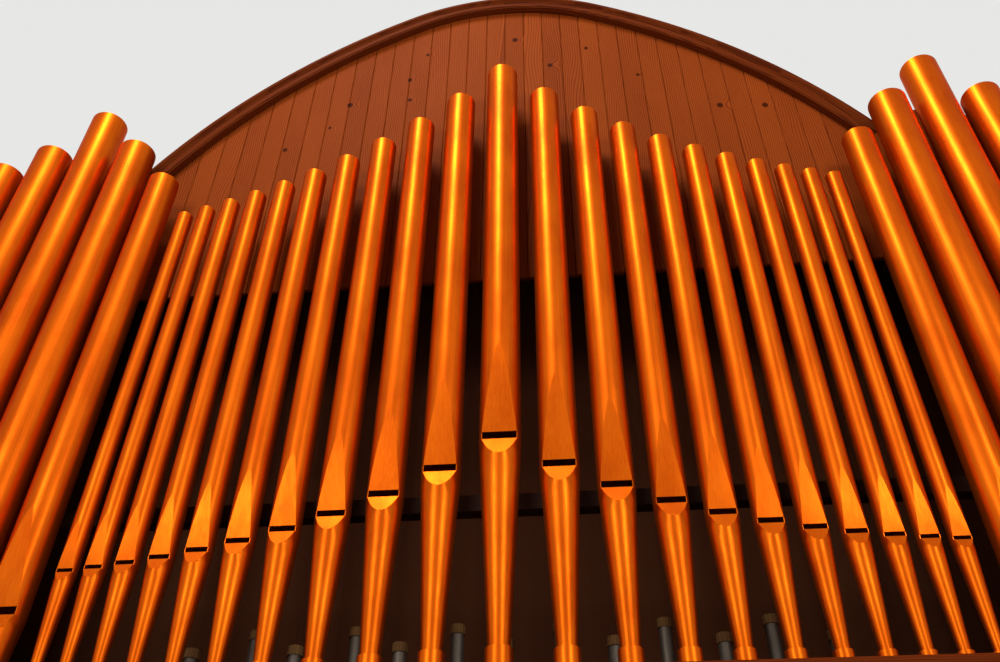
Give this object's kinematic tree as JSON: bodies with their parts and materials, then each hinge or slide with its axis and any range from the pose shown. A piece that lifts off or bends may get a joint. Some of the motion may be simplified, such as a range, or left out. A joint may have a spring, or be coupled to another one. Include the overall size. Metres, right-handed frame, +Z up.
{
  "type": "pipe organ",
  "caption": "Pipe organ with a panelled wooden case, a middle flat of copper pipes under an arched cornice, and a row of larger pipes at each side.",
  "frame": {"origin": "middle of the footprint at floor level", "axes": "+Z up, the pipes' mouths face -Y, +X to the right of someone who faces the organ"},
  "size_m": [5.56, 0.8999, 7.0119],
  "materials": {
    "pine": "stained red-brown pine boards, satin varnish",
    "dark_wood": "darker red-brown moulded timber, satin varnish",
    "copper": "polished copper pipe metal, lacquered",
    "tin": "dull grey tin and lead pipe metal",
    "cap_wood": "matt brown stoppers"
  },
  "bodies": {
    "root": {"skirting": "dark_wood", "front_wall": "pine", "left_tower_front": "pine", "right_tower_front": "pine", "tower_cheeks": "pine", "left_side_wall": "pine", "right_side_wall": "pine", "back_wall": "pine", "toe_board": "dark_wood", "left_tower_toe_board": "dark_wood", "right_tower_toe_board": "dark_wood", "left_tower_boards": "pine", "right_tower_boards": "pine", "side_roofs": "dark_wood", "left_post": "pine", "right_post": "pine", "crown_cornice": "dark_wood", "left_cornice": "dark_wood", "right_cornice": "dark_wood", "arch_boards": "pine", "upper_side_walls": "pine", "upper_back_wall": "pine", "arched_roof": "dark_wood", "pipe_rail": "dark_wood", "tower_rails": "dark_wood", "centre_pipe": "copper", "pipe_pair_1": "copper", "pipe_pair_2": "copper", "pipe_pair_3": "copper", "pipe_pair_4": "copper", "pipe_pair_5": "copper", "pipe_pair_6": "copper", "pipe_pair_7": "copper", "pipe_pair_8": "copper", "pipe_pair_9": "copper", "pipe_pair_10": "copper", "tower_pipes_1": "copper", "tower_pipes_2": "copper", "tower_pipes_3": "copper", "tower_pipes_4": "copper", "tower_pipes_5": "copper", "toe_collars": "copper", "inner_chest": "dark_wood", "inner_pipes": "tin", "inner_caps": "cap_wood"}
  },
  "joints": []
}
